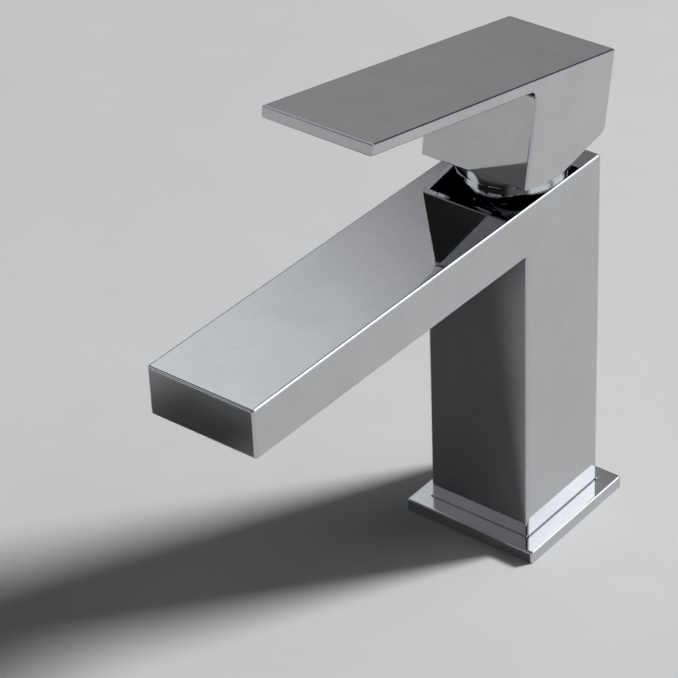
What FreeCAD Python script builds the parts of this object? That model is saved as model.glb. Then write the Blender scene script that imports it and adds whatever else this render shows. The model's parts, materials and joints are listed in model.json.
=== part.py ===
import FreeCAD
import Part
import math
import os

# Single-lever basin mixer: a square column with a flat spout on a square base plate,
# a ceramic cartridge under a dome, and a square hollow lever with a long flat blade.
# Millimetres, +Z up. The origin is on the column's axis at deck level and the spout points to -Y.

# Driving dimensions: what a maker would set first
body_height = 150.0
spout_reach = 173.0
lever_reach = 117.4
cartridge_diameter = 35.0
inlet_spacing = 18.0
deck_thickness = 20.0

# Lever positions, in degrees from closed
full_lift_degrees = 25.0
rest_lift_degrees = 10.9

# General fits
overrun = 1.0
bore_gap = 0.2
thread_gap = 0.1
running_gap = 0.2
slide_gap = 0.3
press_gap = 0.02
braze_gap = 0.05
pin_gap = 0.08

# Column and spout
column_wall_at_nut = 3.5
column_extra_depth = 1.0
column_wall = 4.0
foot_step = 1.5
body_edge_radius = 1.0
seat_block_height = 18.0
front_wall = 2.6
outlet_half_width = 11.0
outlet_height = 3.5
outlet_land = 1.0
spout_floor_wall = 3.4
spout_side_wall = 3.5
spout_roof_wall = 3.5
spout_tip_wall = 4.0
spout_taper = 1.0

# Base plate and its gasket
plate_overhang = 7.0
plate_thickness = 5.0
plate_edge_radius = 0.8
column_seat_depth = 1.0
column_seat_gap = 0.1
column_seat_chamfer = 0.4
gasket_inset = 3.2
gasket_width = 4.0
gasket_thickness = 2.0

# Foot block, inlet tubes and hose ports
foot_recess = 1.0
foot_height = 15.0
inlet_forward = 5.0
port_radius = 4.5
port_depth = 10.0
tube_radius = 5.0
tube_wall = 1.0
tube_socket_depth = 4.0
channel_radius = 3.5

# Mounting stud and clamp
stud_back = 10.0
stud_radius = 4.0
stud_engagement = 11.0
stud_tail = 16.0
stud_chamfer = 1.0
stud_margin = 2.8
clamp_stud_gap = 0.2
clamp_web = 3.3
clamp_arm = 10.0
hose_room = 7.0
clamp_corner_radius = 4.0
clamp_washer_thickness = 3.0
clamp_plate_thickness = 3.0
stud_nut_flats = 13.0
stud_nut_length = 20.0

# Cartridge: base, seals and discs
base_flange = 2.5
base_waist_height = 4.5
base_waist_inset = 3.0
peg_radius = 1.9
peg_length = 2.5
peg_spacing = 12.0
peg_back = 13.0
inlet_seal_width = 1.9
inlet_seal_thickness = 1.8
inlet_seal_gap = 0.5
disc_inlet_side = 5.2
disc_inlet_forward = 3.0
disc_inlet_radius = 2.5
disc_outlet_back = 4.0
disc_outlet_radius = 3.2
disc_seal_width = 0.8
disc_seal_gap = 0.3
disc_seal_thickness = 1.5
fixed_disc_thickness = 4.0
moving_disc_thickness = 4.0
mixing_pocket_depth = 1.8
mixing_pocket_side = 7.6
mixing_pocket_front = 4.0
mixing_pocket_back = 8.6
mixing_pocket_corner = 2.5
disc_notch_width = 3.0
disc_notch_depth = 1.5

# Cartridge: carrier, rotor, housing
carrier_flange = 2.3
carrier_hub_height = 5.2
socket_floor = 1.2
socket_wall = 1.5
hub_corner_radius = 3.2
socket_gap = 0.2
ball_radius = 3.3
housing_wall = 1.3
housing_shoulder = 2.0
housing_o_ring = 1.8
o_ring_groove_wall = 1.65
o_ring_groove_room = 0.4
o_ring_squeeze = 0.05
o_ring_drop = 2.8
flange_room = 0.5
rotor_inset = 6.0
rotor_flange = 1.8
rotor_top_rise = 5.5
rail_height = 2.0
rail_width = 3.0
rail_length = 20.0
neck_wall = 2.2
neck_below_rotor = 1.0
slip_washer_thickness = 0.8

# Lever stem and pivot
pivot_rise = 8.0
pivot_pin_radius = 1.5
stem_width = 8.0
stem_foot = 5.0
stem_arm_radius = 2.6
stem_slot_gap = 0.4
stem_top_gap = 5.8

# Retaining nut, dome and grip ring
nut_seat_step = 1.3
nut_seat_relief = 0.5
nut_thread_length = 4.5
nut_hole_gap = 0.3
nut_hex_height = 3.5
nut_hex_step = 1.1
nut_collar_wall = 2.6
nut_collar_height = 4.4
nut_chamfer = 0.6
grip_groove_depth = 1.1
grip_groove_room = 0.2
grip_ring_gap = 0.15
dome_flange_step = 0.6
dome_flange_height = 1.2
dome_swell = 3.4
dome_height = 11.0
dome_wall = 1.2
dome_opening_gap = 0.4

# Handle
dome_running_gap = 0.7
handle_wall = 2.0
handle_extra_depth = 2.0
handle_drop_gap = 3.0
handle_height = 41.6
handle_side_radius = 1.0
handle_rear_radius = 3.0
handle_edge_radius = 0.6
handle_rim_radius = 0.5
handle_cove_radius = 3.0
handle_cavity_radius = 0.6
blade_root_thickness = 4.8
blade_tip_thickness = 4.4
relief_forward = 3.2
relief_rise = 10.5
socket_rise = 6.5
stem_fit_gap = 0.05
handle_socket_wall = 2.4
handle_screw_radius = 2.5
handle_screw_length = 10.0
handle_screw_wall = 2.3
screw_height_share = 0.43
screw_key_radius = 1.3
screw_key_depth = 2.5
index_plug_radius = 3.9
index_plug_thickness = 2.4

# Aerator
aerator_setback = 23.0
aerator_radius = 12.0
aerator_flange_step = 1.0
aerator_flange_height = 2.7
aerator_seat_depth = 0.55
aerator_seat_gap = 0.3
aerator_thread_length = 8.3
aerator_wall = 1.8
aerator_lip = 1.0
aerator_seal_thickness = 1.6
aerator_seal_width = 2.8
aerator_insert_gap = 0.1
aerator_screen_thickness = 0.5
jet_radius = 1.1
jet_pitch = 3.4
jet_ring_count = 2
jets_per_ring = 6

# Levels and radii that follow from the sizes above, from the top of the body downwards
cartridge_radius = cartridge_diameter / 2
bore_radius = cartridge_radius + bore_gap
nut_seat_radius = bore_radius + nut_seat_step
column_width = 2 * (nut_seat_radius + column_wall_at_nut)
column_depth = column_width + column_extra_depth
column_foot_z = plate_thickness - column_seat_depth

nut_foot_z = body_height - nut_thread_length
shoulder_z = nut_foot_z - slip_washer_thickness
ceiling_z = shoulder_z - housing_shoulder
rotor_flange_top_z = ceiling_z - running_gap
rotor_flange_z = rotor_flange_top_z - rotor_flange
carrier_top_z = rotor_flange_z - slide_gap
carrier_flange_top_z = carrier_top_z - carrier_hub_height
carrier_z = carrier_flange_top_z - carrier_flange
moving_disc_z = carrier_z - moving_disc_thickness
fixed_disc_z = moving_disc_z - fixed_disc_thickness
bore_floor_z = fixed_disc_z - 2 * base_flange - base_waist_height
seat_block_z = bore_floor_z - seat_block_height
groove_top_z = ceiling_z - o_ring_drop
groove_z = groove_top_z - housing_o_ring - o_ring_groove_room
outlet_top_z = groove_z - outlet_land
waterway_floor_z = outlet_top_z - outlet_height
spout_root_z = waterway_floor_z - spout_floor_wall
spout_tip_z = spout_root_z + spout_taper

pivot_z = body_height + pivot_rise
socket_floor_z = carrier_z + socket_floor
socket_radius = ball_radius + socket_gap
ball_z = socket_floor_z + slide_gap + ball_radius
stem_arm = pivot_z - ball_z
full_lift = math.radians(full_lift_degrees)
rest_lift = math.radians(rest_lift_degrees)
disc_travel = stem_arm * math.sin(full_lift)
ball_rest_y = -stem_arm * math.sin(rest_lift)
disc_rest_y = ball_rest_y + disc_travel / 2

chamber_radius = cartridge_radius - housing_wall
o_ring_groove_radius = bore_radius - housing_o_ring - o_ring_squeeze
flange_chamber_radius = o_ring_groove_radius - o_ring_groove_wall
moving_disc_radius = chamber_radius - disc_travel / 2 - slide_gap
rotor_radius = cartridge_radius - rotor_inset
rotor_top_z = pivot_z + rotor_top_rise
neck_bore_radius = rotor_radius + running_gap
neck_radius = neck_bore_radius + neck_wall
nut_hole_radius = neck_radius + nut_hole_gap
collar_radius = nut_hole_radius + nut_collar_wall
collar_z = body_height + nut_hex_height
collar_top_z = collar_z + nut_collar_height
dome_radius = collar_radius + dome_swell
dome_opening_radius = neck_radius + dome_opening_gap
dome_shoulder_z = body_height + dome_flange_height
dome_top_z = body_height + dome_height

handle_half_width = dome_radius + dome_running_gap + handle_wall
handle_half_depth = handle_half_width + handle_extra_depth / 2
handle_z = body_height + handle_drop_gap
handle_top_z = handle_z + handle_height
handle_ceiling_z = handle_top_z - blade_root_thickness
handle_socket_z = rotor_top_z + socket_rise
stem_top_z = handle_ceiling_z - stem_top_gap
screw_z = handle_socket_z + screw_height_share * (stem_top_z - handle_socket_z)

inlet_x = inlet_spacing / 2
inlet_y = -inlet_forward
foot_z = column_foot_z + foot_recess
foot_top_z = foot_z + foot_height
clamp_washer_z = -deck_thickness - clamp_washer_thickness
clamp_plate_z = clamp_washer_z - clamp_plate_thickness
stud_nut_z = clamp_plate_z - stud_nut_length
plate_hole_radius = stud_back + stud_radius + stud_margin

aerator_y = aerator_setback - spout_reach
taper_share = (-aerator_y - column_depth / 2) / (spout_reach - column_depth / 2)
aerator_seat_z = spout_root_z + spout_taper * taper_share + aerator_seat_depth
aerator_z = aerator_seat_z - aerator_flange_height
aerator_top_z = aerator_seat_z + aerator_thread_length
aerator_bore_top_z = aerator_top_z + aerator_seal_thickness
aerator_bore_radius = aerator_radius + thread_gap


def at(x, y, z):
    return FreeCAD.Vector(x, y, z)


def box(x0, x1, y0, y1, z0, z1):
    return Part.makeBox(x1 - x0, y1 - y0, z1 - z0, at(x0, y0, z0))


def post(radius, z0, z1, x=0.0, y=0.0):
    return Part.makeCylinder(radius, z1 - z0, at(x, y, z0))


def ring(outer, inner, z0, z1, x=0.0, y=0.0):
    return post(outer, z0, z1, x, y).cut(post(inner, z0 - overrun, z1 + overrun, x, y))


def across(radius, half_length, y, z):
    """A cylinder along X, centred on the middle plane."""
    return Part.makeCylinder(radius, 2 * half_length, at(-half_length, y, z), at(1, 0, 0))


def back_rod(radius, y0, y1, z):
    """A cylinder along Y in the middle plane."""
    return Part.makeCylinder(radius, y1 - y0, at(0, y0, z), at(0, 1, 0))


def turned(profile, x=0.0, y=0.0):
    """A solid of revolution about a vertical axis, from (radius, height) points."""
    points = [at(radius, 0, z) for radius, z in profile]
    solid = Part.Face(Part.makePolygon(points + points[:1])).revolve(at(0, 0, 0), at(0, 0, 1), 360)
    solid.translate(at(x, y, 0))
    return solid


def side_prism(outline, half_width):
    """A prism across X, from the (y, z) points of its side view."""
    points = [at(-half_width, y, z) for y, z in outline]
    return Part.Face(Part.makePolygon(points + points[:1])).extrude(at(2 * half_width, 0, 0))


def hexagon(across_flats, z0, z1, x=0.0, y=0.0):
    corner = across_flats / math.sqrt(3)
    turns = [math.radians(60 * step) for step in range(7)]
    points = [at(x + corner * math.cos(turn), y + corner * math.sin(turn), z0) for turn in turns]
    return Part.Face(Part.makePolygon(points)).extrude(at(0, 0, z1 - z0))


def rounded(shape, radius, wanted):
    """Fillet the edges whose bounding box the test accepts."""
    return shape.makeFillet(radius, [edge for edge in shape.Edges if wanted(edge.BoundBox)])


def mirrored_pair(make_one):
    """Join what a function builds on the right (+1) and on the left (-1)."""
    return make_one(1).fuse(make_one(-1))


def lifted(shape):
    """Turn a lever piece from the closed pose to its rest pose about the pivot."""
    shape.rotate(at(0, 0, pivot_z), at(-1, 0, 0), rest_lift_degrees)
    return shape


def column_spout_form():
    """The outer form: a square column and a flat spout with one continuous top."""
    half_depth = column_depth / 2
    outline = [
        (-half_depth, column_foot_z),
        (-half_depth, spout_root_z),
        (-spout_reach, spout_tip_z),
        (-spout_reach, body_height),
        (half_depth, body_height),
        (half_depth, column_foot_z),
    ]
    form = side_prism(outline, column_width / 2)

    def outer(edge_box):
        at_foot = edge_box.ZMax < column_foot_z + body_edge_radius
        across_x = edge_box.XLength > column_wall
        at_root = across_x and abs(edge_box.ZMax - spout_root_z) < body_edge_radius / 2
        return not at_foot and not at_root

    return rounded(form, body_edge_radius, outer)


def cartridge_bore():
    """The stepped bore from the top, with the inlet channels and the peg holes in its floor."""
    bore = post(bore_radius, bore_floor_z, body_height + overrun)
    bore = bore.fuse(post(nut_seat_radius, nut_foot_z - nut_seat_relief, body_height + overrun))
    peg_hole_z = bore_floor_z - peg_length - running_gap
    for side in (1, -1):
        top_z = bore_floor_z + overrun
        channel = post(channel_radius, seat_block_z - overrun, top_z, side * inlet_x, inlet_y)
        peg_hole = post(peg_radius + pin_gap, peg_hole_z, top_z, side * peg_spacing / 2, peg_back)
        bore = bore.fuse(channel).fuse(peg_hole)
    return bore


def spout_waterway():
    """The way from the bore's front slot along the spout to the aerator."""
    slot_front = column_depth / 2 - front_wall
    slot_x = outlet_half_width
    slot = box(-slot_x, slot_x, -slot_front, 0, bore_floor_z + base_flange, outlet_top_z)
    window = box(-slot_x, slot_x, -slot_front - overrun, 0, waterway_floor_z, outlet_top_z)
    half_width = column_width / 2 - spout_side_wall
    rise_y = aerator_y + aerator_bore_radius + spout_floor_wall
    roof_z = body_height - spout_roof_wall
    end_y = spout_tip_wall - spout_reach
    outline = [
        (-slot_front, waterway_floor_z),
        (rise_y, waterway_floor_z),
        (aerator_y + aerator_bore_radius, aerator_bore_top_z),
        (end_y, aerator_bore_top_z),
        (end_y, roof_z),
        (-slot_front, roof_z),
    ]
    return slot.fuse(window).fuse(side_prism(outline, half_width))


def aerator_bore():
    seat_radius = aerator_radius + aerator_flange_step + aerator_seat_gap
    mouth_radius = aerator_radius - aerator_seal_width
    bore = post(aerator_bore_radius, aerator_z, aerator_bore_top_z, 0.0, aerator_y)
    bore = bore.fuse(post(mouth_radius, aerator_z, aerator_bore_top_z + overrun, 0.0, aerator_y))
    return bore.fuse(post(seat_radius, aerator_z, aerator_seat_z, 0.0, aerator_y))


def column_hollow():
    """The hollow below the seat block, wider at the foot where the foot block is brazed in."""
    foot_x = column_width / 2 - column_wall
    foot_y = column_depth / 2 - column_wall
    hollow = box(-foot_x, foot_x, -foot_y, foot_y, column_foot_z - overrun, foot_top_z)
    upper_x = foot_x - foot_step
    upper_y = foot_y - foot_step
    hollow = hollow.fuse(box(-upper_x, upper_x, -upper_y, upper_y, column_foot_z, seat_block_z))
    for side in (1, -1):
        socket_top_z = seat_block_z + tube_socket_depth
        socket = post(tube_radius + braze_gap, column_foot_z, socket_top_z, side * inlet_x, inlet_y)
        hollow = hollow.fuse(socket)
    return hollow


def make_body():
    body = column_spout_form().cut(cartridge_bore())
    body = body.cut(spout_waterway())
    body = body.cut(column_hollow())
    return body.cut(aerator_bore())


def make_foot_block():
    half_x = column_width / 2 - column_wall - braze_gap
    half_y = column_depth / 2 - column_wall - braze_gap
    block = box(-half_x, half_x, -half_y, half_y, foot_z, foot_top_z)
    for side in (1, -1):
        x = side * inlet_x
        block = block.cut(post(port_radius, foot_z - overrun, foot_z + port_depth, x, inlet_y))
        block = block.cut(post(channel_radius, foot_z, foot_top_z + overrun, x, inlet_y))
        socket_z = foot_top_z - tube_socket_depth
        socket = post(tube_radius + braze_gap, socket_z, foot_top_z + overrun, x, inlet_y)
        block = block.cut(socket)
    stud_hole = post(stud_radius + braze_gap, foot_z - overrun, foot_z + stud_engagement, 0.0, stud_back)
    return block.cut(stud_hole)


def make_inlet_tube(side):
    z0 = foot_top_z - tube_socket_depth
    z1 = seat_block_z + tube_socket_depth
    return ring(tube_radius, tube_radius - tube_wall, z0, z1, side * inlet_x, inlet_y)


def gasket_radii():
    inner = plate_hole_radius + gasket_inset
    return inner, inner + gasket_width


def make_base_plate():
    half_x = column_width / 2 + plate_overhang
    half_y = column_depth / 2 + plate_overhang
    plate = box(-half_x, half_x, -half_y, half_y, 0, plate_thickness)
    plate = rounded(plate, body_edge_radius, lambda edge_box: edge_box.ZLength > plate_thickness / 2)
    plate = rounded(plate, plate_edge_radius, lambda edge_box: edge_box.ZMin > plate_thickness / 2)
    seat_x = column_width / 2 + column_seat_gap
    seat_y = column_depth / 2 + column_seat_gap
    plate = plate.cut(box(-seat_x, seat_x, -seat_y, seat_y, column_foot_z, plate_thickness + overrun))

    def seat_rim(edge_box):
        inside = max(abs(edge_box.XMin), abs(edge_box.XMax)) < seat_x + column_seat_gap
        return inside and edge_box.ZMin > plate_thickness - column_seat_chamfer

    plate = plate.makeChamfer(column_seat_chamfer, [edge for edge in plate.Edges if seat_rim(edge.BoundBox)])
    plate = plate.cut(post(plate_hole_radius, -overrun, plate_thickness + overrun))
    inner, outer = gasket_radii()
    return plate.cut(ring(outer, inner, -overrun, gasket_thickness))


def make_base_gasket():
    inner, outer = gasket_radii()
    return ring(outer - braze_gap, inner + braze_gap, 0, gasket_thickness)


def make_mounting_stud():
    tip_z = stud_nut_z - stud_tail
    profile = [
        (0, tip_z),
        (stud_radius - stud_chamfer, tip_z),
        (stud_radius, tip_z + stud_chamfer),
        (stud_radius, foot_z + stud_engagement),
        (0, foot_z + stud_engagement),
    ]
    return turned(profile, 0.0, stud_back)


def make_clamp(z0, thickness):
    """A horseshoe that passes the hoses through its open front and holds on the stud."""
    half_slot = inlet_x + hose_room
    radius = half_slot + clamp_arm
    hole_radius = stud_radius + clamp_stud_gap
    slot_end = stud_back - hole_radius - clamp_web
    slot = box(-half_slot, half_slot, -radius - overrun, slot_end, z0 - overrun, z0 + thickness + overrun)

    def inner_corner(edge_box):
        return edge_box.ZLength > thickness and edge_box.YMin > slot_end - overrun

    slot = rounded(slot, clamp_corner_radius, inner_corner)
    return post(radius, z0, z0 + thickness).cut(slot).cut(
        post(hole_radius, z0 - overrun, z0 + thickness + overrun, 0.0, stud_back)
    )


def make_stud_nut():
    corner = stud_nut_flats / math.sqrt(3)
    top_z = clamp_plate_z
    envelope = turned(
        [
            (0, stud_nut_z),
            (corner - nut_chamfer, stud_nut_z),
            (corner, stud_nut_z + nut_chamfer),
            (corner, top_z - nut_chamfer),
            (corner - nut_chamfer, top_z),
            (0, top_z),
        ],
        0.0,
        stud_back,
    )
    nut = hexagon(stud_nut_flats, stud_nut_z, top_z, 0.0, stud_back).common(envelope)
    return nut.cut(post(stud_radius + thread_gap, stud_nut_z - overrun, top_z + overrun, 0.0, stud_back))


def slanted_inlet(side):
    """The base's inlet way, from the body's channel in to the fixed disc's port."""
    start = at(side * inlet_x, inlet_y, bore_floor_z)
    way = at(side * disc_inlet_side, -disc_inlet_forward, fixed_disc_z) - start
    unit = way * (1 / way.Length)
    reach = way.Length + 2 * overrun
    return Part.makeCylinder(disc_inlet_radius, reach, start - unit * overrun, unit)


def disc_ports():
    """The (x, y, radius) of the fixed disc's two inlets and its outlet."""
    inlets = [(side * disc_inlet_side, -disc_inlet_forward, disc_inlet_radius) for side in (1, -1)]
    return inlets + [(0.0, disc_outlet_back, disc_outlet_radius)]


def make_cartridge_base():
    """The base: two slanted inlets and an outlet that leaves by its waist."""
    waist_z = bore_floor_z + base_flange
    waist_top_z = waist_z + base_waist_height
    base = post(cartridge_radius, bore_floor_z, fixed_disc_z)
    base = base.cut(ring(bore_radius, cartridge_radius - base_waist_inset, waist_z, waist_top_z))
    base = base.cut(mirrored_pair(slanted_inlet))
    base = base.cut(post(disc_outlet_radius, waist_z, fixed_disc_z + overrun, 0.0, disc_outlet_back))
    outlet_x = disc_outlet_radius
    base = base.cut(box(-outlet_x, outlet_x, disc_outlet_back, bore_radius, waist_z, waist_top_z))
    for side in (1, -1):
        seal_top_z = bore_floor_z + inlet_seal_thickness
        seat = post(inlet_seal_outer(), bore_floor_z - overrun, seal_top_z, side * inlet_x, inlet_y)
        peg = post(peg_radius, bore_floor_z - peg_length, waist_z, side * peg_spacing / 2, peg_back)
        base = base.cut(seat).fuse(peg)
    for x, y, radius in disc_ports():
        inner = radius + disc_seal_gap
        groove_floor_z = fixed_disc_z - disc_seal_thickness
        groove = ring(inner + disc_seal_width, inner, groove_floor_z, fixed_disc_z + overrun, x, y)
        base = base.cut(groove)
    return base


def inlet_seal_outer():
    return channel_radius + inlet_seal_gap + inlet_seal_width


def make_inlet_seal(side):
    outer = inlet_seal_outer() - braze_gap
    inner = channel_radius + inlet_seal_gap
    return ring(outer, inner, bore_floor_z, bore_floor_z + inlet_seal_thickness, side * inlet_x, inlet_y)


def make_disc_seals():
    seals = []
    for x, y, radius in disc_ports():
        inner = radius + disc_seal_gap + press_gap
        outer = radius + disc_seal_gap + disc_seal_width - press_gap
        seals.append(ring(outer, inner, fixed_disc_z - disc_seal_thickness, fixed_disc_z, x, y))
    return Part.makeCompound(seals)


def make_fixed_disc():
    disc = post(chamber_radius - running_gap, fixed_disc_z, moving_disc_z)
    for x, y, radius in disc_ports():
        disc = disc.cut(post(radius, fixed_disc_z - overrun, moving_disc_z + overrun, x, y))
    return disc


def disc_notch(side, gap):
    """The place where a lug of the carrier drives the moving disc, with a gap around it."""
    edge = moving_disc_radius + overrun
    inner = moving_disc_radius - disc_notch_depth - gap
    half = disc_notch_width / 2 + gap
    low, high = sorted((side * inner, side * edge))
    notch_z = moving_disc_z + moving_disc_thickness / 2
    return box(low, high, disc_rest_y - half, disc_rest_y + half, notch_z, carrier_z)


def make_moving_disc():
    disc = post(moving_disc_radius, moving_disc_z, carrier_z, 0.0, disc_rest_y)
    front = disc_rest_y - mixing_pocket_front
    back = disc_rest_y + mixing_pocket_back
    pocket_x = mixing_pocket_side
    pocket_top_z = moving_disc_z + mixing_pocket_depth
    pocket = box(-pocket_x, pocket_x, front, back, moving_disc_z - overrun, pocket_top_z)
    pocket = rounded(pocket, mixing_pocket_corner, lambda edge_box: edge_box.ZLength > mixing_pocket_depth)
    land = post(moving_disc_radius - disc_notch_depth, moving_disc_z - overrun, carrier_z, 0.0, disc_rest_y)
    disc = disc.cut(pocket.common(land))
    return disc.cut(mirrored_pair(lambda side: disc_notch(side, running_gap)))


def make_disc_carrier():
    """The carrier: a flange over the moving disc and a square hub with the socket for the stem's ball."""
    flange = post(moving_disc_radius, carrier_z, carrier_flange_top_z, 0.0, disc_rest_y)
    half = socket_radius + socket_wall
    hub = box(-half, half, ball_rest_y - half, ball_rest_y + half, carrier_flange_top_z, carrier_top_z)
    hub = rounded(hub, hub_corner_radius, lambda edge_box: edge_box.ZLength > carrier_hub_height / 2)
    lug_ring = post(moving_disc_radius, moving_disc_z, carrier_z, 0.0, disc_rest_y)
    lugs = mirrored_pair(lambda side: disc_notch(side, 0.0)).common(lug_ring)
    carrier = flange.fuse(hub).fuse(lugs)
    return carrier.cut(post(socket_radius, socket_floor_z, carrier_top_z + overrun, 0.0, ball_rest_y))


def make_cartridge_housing():
    """The housing: a cup over the discs, a shoulder under the nut and a neck around the rotor."""
    step_z = carrier_flange_top_z + flange_room
    neck_top_z = rotor_top_z - neck_below_rotor
    return turned(
        [
            (chamber_radius, fixed_disc_z),
            (cartridge_radius, fixed_disc_z),
            (cartridge_radius, groove_z),
            (o_ring_groove_radius, groove_z),
            (o_ring_groove_radius, groove_top_z),
            (cartridge_radius, groove_top_z),
            (cartridge_radius, shoulder_z),
            (neck_radius, shoulder_z),
            (neck_radius, neck_top_z),
            (neck_bore_radius, neck_top_z),
            (neck_bore_radius, ceiling_z),
            (flange_chamber_radius, ceiling_z),
            (flange_chamber_radius, step_z),
            (chamber_radius, step_z),
        ]
    )


def make_housing_o_ring():
    middle = (o_ring_groove_radius + bore_radius) / 2
    return Part.makeTorus(middle, housing_o_ring / 2, at(0, 0, (groove_z + groove_top_z) / 2))


def stem_slot():
    """The rotor's slot, which clears the stem and its arm over the whole lift."""
    half = stem_width / 2 / math.cos(full_lift) + stem_slot_gap
    foot_reach = stem_width / 2 * math.cos(full_lift) + stem_foot * math.sin(full_lift) + stem_slot_gap
    ball_reach = disc_travel + ball_radius + stem_slot_gap
    low_z = rotor_flange_z - rail_height - overrun
    ball_open_z = pivot_z - stem_arm * math.cos(full_lift) + ball_radius / 2
    top_z = rotor_top_z + overrun
    top_back = half + (top_z - pivot_z) * math.tan(full_lift)
    outline = [
        (-ball_reach, low_z),
        (half, low_z),
        (half, pivot_z),
        (top_back, top_z),
        (-half, top_z),
        (-foot_reach, pivot_z),
        (-foot_reach, pivot_z - stem_foot),
        (-ball_reach, ball_open_z),
    ]
    return side_prism(outline, stem_width / 2 + running_gap)


def make_stem_guide():
    """The rotor: it turns in the neck, carries the pivot pin and guides the carrier by its rails."""
    guide = post(rotor_radius, rotor_flange_z, rotor_top_z)
    flange_radius = flange_chamber_radius - slide_gap
    guide = guide.fuse(post(flange_radius, rotor_flange_z, rotor_flange_top_z))
    inner = socket_radius + socket_wall + slide_gap
    rail_z = rotor_flange_z - rail_height

    def rail(side):
        low, high = sorted((side * inner, side * (inner + rail_width)))
        return box(low, high, -rail_length / 2, rail_length / 2, rail_z, rotor_flange_top_z)

    rails = mirrored_pair(rail).common(post(flange_radius, rail_z, rotor_flange_top_z))
    guide = guide.fuse(rails).cut(stem_slot())
    return guide.cut(across(pivot_pin_radius + press_gap, rotor_radius + overrun, 0, pivot_z))


def make_pivot_pin():
    return across(pivot_pin_radius, rotor_radius - press_gap, 0, pivot_z)


def make_lever_stem():
    half = stem_width / 2
    stem = box(-half, half, -half, half, pivot_z - stem_foot, stem_top_z)
    stem = stem.fuse(post(stem_arm_radius, ball_z, pivot_z))
    stem = stem.fuse(Part.makeSphere(ball_radius, at(0, 0, ball_z)))
    return lifted(stem.cut(across(pivot_pin_radius + pin_gap, stem_width, 0, pivot_z)))


def make_slip_washer():
    return ring(cartridge_radius - bore_gap, nut_hole_radius, shoulder_z, nut_foot_z)


def grip_groove():
    """The nut's groove for the grip ring: its radius, middle height and width."""
    middle_z = (collar_z + collar_top_z) / 2
    return collar_radius - grip_groove_depth, middle_z, 2 * grip_ring_radius() + grip_groove_room


def dome_inner_radius(z):
    """The dome's inner radius at a height, on its quarter ellipse."""
    rise_share = (z - dome_shoulder_z) / (dome_top_z - dome_wall - dome_shoulder_z)
    swell = dome_radius - dome_wall - dome_opening_radius
    return dome_opening_radius + swell * math.sqrt(1 - rise_share ** 2)


def grip_ring_radius():
    room = dome_inner_radius((collar_z + collar_top_z) / 2) - collar_radius + grip_groove_depth
    return room / 2 - grip_ring_gap


def make_retaining_nut():
    hex_corner = collar_radius + nut_hex_step
    nut = post(nut_seat_radius - thread_gap, nut_foot_z, body_height)
    hex_part = hexagon(hex_corner * math.sqrt(3), body_height, collar_z)
    bevel = [
        (0, body_height),
        (hex_corner, body_height),
        (hex_corner, collar_z - nut_chamfer),
        (hex_corner - nut_chamfer, collar_z),
        (0, collar_z),
    ]
    nut = nut.fuse(hex_part.common(turned(bevel))).fuse(post(collar_radius, collar_z, collar_top_z))
    groove_radius, middle_z, width = grip_groove()
    nut = nut.cut(ring(collar_radius + overrun, groove_radius, middle_z - width / 2, middle_z + width / 2))
    return nut.cut(post(nut_hole_radius, nut_foot_z - overrun, collar_top_z + overrun))


def make_dome_grip_ring():
    groove_radius, middle_z, _ = grip_groove()
    section_radius = grip_ring_radius()
    ring_radius = groove_radius + grip_ring_gap + section_radius
    return Part.makeTorus(ring_radius, section_radius, at(0, 0, middle_z))


def quarter_ellipse(swell, top_z):
    """The edge of a quarter ellipse from the dome's shoulder up to its opening."""
    centre = at(dome_opening_radius, 0, dome_shoulder_z)
    side = at(dome_opening_radius + swell, 0, dome_shoulder_z)
    top = at(dome_opening_radius, 0, top_z)
    if swell > top_z - dome_shoulder_z:
        return Part.Ellipse(side, top, centre).toShape(0, math.pi / 2)
    return Part.Ellipse(top, at(2 * centre.x - side.x, 0, dome_shoulder_z), centre).toShape(-math.pi / 2, 0)


def make_dome_cover():
    """The dome: a turned shell whose crown is a quarter ellipse, on a small foot flange."""
    outer_swell = dome_radius - dome_opening_radius
    crown = quarter_ellipse(outer_swell, dome_top_z)
    lining = quarter_ellipse(outer_swell - dome_wall, dome_top_z - dome_wall)
    flange_radius = dome_radius + dome_flange_step
    foot = [
        at(dome_radius, 0, dome_shoulder_z),
        at(flange_radius, 0, dome_shoulder_z),
        at(flange_radius, 0, body_height),
        at(dome_radius - dome_wall, 0, body_height),
        at(dome_radius - dome_wall, 0, dome_shoulder_z),
    ]
    lip_top = at(dome_opening_radius, 0, dome_top_z)
    opening = Part.makeLine(lip_top, lip_top - at(0, 0, dome_wall))
    edges = [crown, lining, opening] + Part.makePolygon(foot).Edges
    section = Part.Face(Part.Wire(Part.__sortEdges__(edges)))
    return section.revolve(at(0, 0, 0), at(0, 0, 1), 360)


def handle_block():
    """The square block, with the rising underside at the rear."""
    block = box(
        -handle_half_width, handle_half_width, -handle_half_depth, handle_half_depth, handle_z, handle_top_z
    )
    rear = handle_half_depth + overrun
    slope = relief_rise / (handle_half_depth + relief_forward)
    relief = [
        (-relief_forward - overrun, handle_z - overrun * slope),
        (rear, handle_z + relief_rise + overrun * slope),
        (rear, handle_z - overrun),
        (-relief_forward - overrun, handle_z - overrun),
    ]
    block = block.cut(side_prism(relief, handle_half_width + overrun))

    def rear_corner(edge_box):
        along = edge_box.XLength > handle_half_width
        return along and edge_box.YMin > handle_half_depth - overrun and edge_box.ZMax < handle_ceiling_z

    return rounded(block, handle_rear_radius, rear_corner)


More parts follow.
